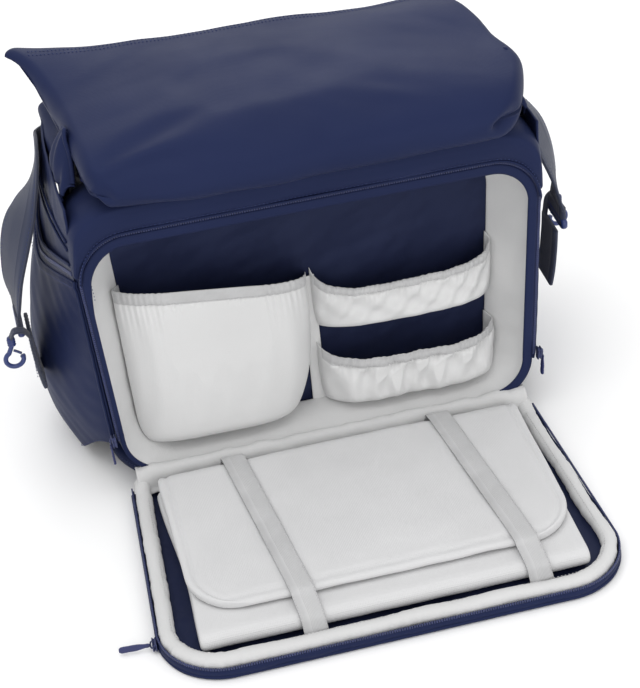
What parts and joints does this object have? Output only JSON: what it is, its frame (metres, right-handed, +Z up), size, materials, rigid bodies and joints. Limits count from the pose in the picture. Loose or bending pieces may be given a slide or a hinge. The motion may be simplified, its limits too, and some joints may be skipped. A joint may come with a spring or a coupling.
{
  "type": "diaper bag",
  "caption": "Padded satchel-style changing bag with a fold-down zipped front carrying a strapped changing mat, open inner pockets, a folded cover flap, a shoulder strap and pushchair hooks.",
  "frame": {"origin": "middle of the base's underside, on the floor", "axes": "+X along the bag's width to the viewer's right, +Y from the front to the back, +Z up"},
  "size_m": [0.5384, 0.4859, 0.345],
  "materials": {
    "navy_nylon": "quilted satin nylon",
    "navy_webbing": "woven",
    "navy_lining": "smooth lining",
    "grey_lining": "plain weave",
    "grey_elastic": "ribbed elastic",
    "mat_cover": "wipe-clean coated",
    "zip_teeth": "nylon coil",
    "zip_metal": "satin",
    "pull_rubber": "satin",
    "hook_plastic": "moulded",
    "board": "board"
  },
  "bodies": {
    "bag": {"front_gusset": "navy_nylon", "front_yoke": "navy_nylon", "bag_zip_tape": "navy_nylon", "base_panel": "navy_nylon", "side_panel_left": "navy_nylon", "side_panel_right": "navy_nylon", "side_pocket_left": "navy_nylon", "side_pocket_right": "navy_nylon", "rear_panel": "navy_nylon", "closure_end_left": "navy_nylon", "closure_end_right": "navy_nylon", "gusset_lining": "grey_lining", "main_lining": "grey_lining", "large_pocket": "grey_lining", "upper_pocket": "grey_lining", "lower_pocket": "grey_lining", "large_pocket_elastic": "grey_elastic", "upper_pocket_elastic": "grey_elastic", "lower_pocket_elastic": "grey_elastic", "divider_wall": "navy_lining", "base_board": "board", "bag_zip_teeth": "zip_teeth", "side_zip_left": "zip_teeth", "side_zip_right": "zip_teeth", "main_zip_tape_front": "zip_teeth", "main_zip_tape_rear": "zip_teeth", "strap_tab_left": "navy_webbing", "strap_tab_right": "navy_webbing"},
    "front_panel": {"panel_shell": "navy_nylon", "panel_lining": "navy_lining", "panel_rim": "grey_lining", "panel_zip_tape": "navy_nylon", "panel_zip_teeth": "zip_teeth", "changing_mat": "mat_cover", "elastic_strap_left": "grey_elastic", "elastic_strap_right": "grey_elastic"},
    "flap_lid": {"flap_top": "navy_nylon"},
    "flap_front": {"flap_skirt": "navy_nylon"},
    "handle": {"grab_handle": "navy_webbing"},
    "carry_strap": {"shoulder_strap_left": "navy_webbing", "shoulder_strap_right": "navy_webbing", "shoulder_pad": "navy_nylon", "strap_adjuster_left": "hook_plastic", "strap_adjuster_right": "hook_plastic"},
    "main_slider": {"main_zip_slider": "zip_metal"},
    "main_pull": {"main_zip_pull": "pull_rubber"},
    "pocket_slider": {"front_pocket_slider": "zip_metal"},
    "pocket_pull": {"front_pocket_pull": "pull_rubber"},
    "front_slider_left": {"front_zip_slider_left": "zip_metal"},
    "front_pull_left": {"front_zip_pull_left": "pull_rubber"},
    "side_slider_left": {"side_zip_slider_left": "zip_metal"},
    "side_pull_left": {"side_zip_pull_left": "pull_rubber"},
    "hook_left": {"stroller_hook_left": "hook_plastic"},
    "gate_left": {"hook_gate_left": "zip_metal"},
    "front_slider_right": {"front_zip_slider_right": "zip_metal"},
    "front_pull_right": {"front_zip_pull_right": "pull_rubber"},
    "side_slider_right": {"side_zip_slider_right": "zip_metal"},
    "side_pull_right": {"side_zip_pull_right": "pull_rubber"},
    "hook_right": {"stroller_hook_right": "hook_plastic"},
    "gate_right": {"hook_gate_right": "zip_metal"}
  },
  "joints": [
    {"name": "front_panel_hinge", "type": "hinge", "parent": "bag", "child": "front_panel", "pos_m": [0, -0.105, 0.02], "axis": [-1, 0, 0], "range_deg": [0, 86.5]},
    {"name": "flap_lift", "type": "hinge", "parent": "bag", "child": "flap_lid", "pos_m": [0, 0.102, 0.3072], "axis": [-1, 0, 0], "range_deg": [0, 100]},
    {"name": "flap_fold", "type": "hinge", "parent": "flap_lid", "child": "flap_front", "pos_m": [0, -0.115, 0.347], "axis": [1, 0, 0], "range_deg": [0, 265]},
    {"name": "handle_fold", "type": "hinge", "parent": "flap_lid", "child": "handle", "pos_m": [0, 0.0975, 0.3148], "axis": [-1, 0, 0], "range_deg": [0, 75]},
    {"name": "strap_swing", "type": "hinge", "parent": "bag", "child": "carry_strap", "pos_m": [0, -0.035, 0.158], "axis": [-1, 0, 0], "range_deg": [0, 38]},
    {"name": "main_zip_slide", "type": "slide", "parent": "bag", "child": "main_slider", "axis": [1, 0, 0], "range_m": [0, 0.35]},
    {"name": "main_zip_pull", "type": "hinge", "parent": "main_slider", "child": "main_pull", "pos_m": [-0.1828, -0.0299, 0.305], "axis": [-1, 0, 0], "range_deg": [0, 150]},
    {"name": "front_zip_left_slide", "type": "slide", "parent": "bag", "child": "front_slider_left", "axis": [-0.0564, 0.0609, 0.9965], "range_m": [0, 0.14]},
    {"name": "front_zip_left_pull", "type": "hinge", "parent": "front_slider_left", "child": "front_pull_left", "pos_m": [-0.20187, -0.10533, 0.06377], "axis": [0, 0.9981, -0.0611], "range_deg": [0, 150]},
    {"name": "side_zip_left_slide", "type": "slide", "parent": "bag", "child": "side_slider_left", "axis": [0, 0.925, 0.38], "range_m": [0, 0.045]},
    {"name": "side_zip_left_pull", "type": "hinge", "parent": "side_slider_left", "child": "side_pull_left", "pos_m": [-0.2228, -0.00385, 0.21274], "axis": [0, 0.38, -0.925], "range_deg": [0, 150]},
    {"name": "front_zip_right_slide", "type": "slide", "parent": "bag", "child": "front_slider_right", "axis": [0.0564, 0.0609, 0.9965], "range_m": [0, 0.14]},
    {"name": "front_zip_right_pull", "type": "hinge", "parent": "front_slider_right", "child": "front_pull_right", "pos_m": [0.20187, -0.10533, 0.06377], "axis": [0, -0.9981, 0.0611], "range_deg": [0, 150]},
    {"name": "side_zip_right_slide", "type": "slide", "parent": "bag", "child": "side_slider_right", "axis": [0, 0.925, 0.38], "range_m": [0, 0.045]},
    {"name": "side_zip_right_pull", "type": "hinge", "parent": "side_slider_right", "child": "side_pull_right", "pos_m": [0.2151, -0.00385, 0.21274], "axis": [0, -0.38, 0.925], "range_deg": [0, 20]},
    {"name": "front_pocket_slide", "type": "slide", "parent": "front_panel", "child": "pocket_slider", "axis": [0.0551, 0.9985, 0], "range_m": [0, 0.14]},
    {"name": "front_pocket_pull", "type": "hinge", "parent": "pocket_slider", "child": "pocket_pull", "pos_m": [-0.20762, -0.30067, 0.0052], "axis": [0, 0, 1], "range_deg": [-80, 80]},
    {"name": "hook_swing_left", "type": "hinge", "parent": "bag", "child": "hook_left", "pos_m": [-0.269, -0.061, 0.166], "axis": [0, 1, 0], "range_deg": [-25, 60]},
    {"name": "gate_open_left", "type": "hinge", "parent": "hook_left", "child": "gate_left", "pos_m": [-0.2623, -0.061, 0.149], "axis": [0, -1, 0], "range_deg": [0, 25]},
    {"name": "hook_swing_right", "type": "hinge", "parent": "bag", "child": "hook_right", "pos_m": [0.25, -0.009, 0.166], "axis": [0, -1, 0], "range_deg": [-25, 60]},
    {"name": "gate_open_right", "type": "hinge", "parent": "hook_right", "child": "gate_right", "pos_m": [0.2433, -0.009, 0.149], "axis": [0, 1, 0], "range_deg": [0, 25]}
  ]
}
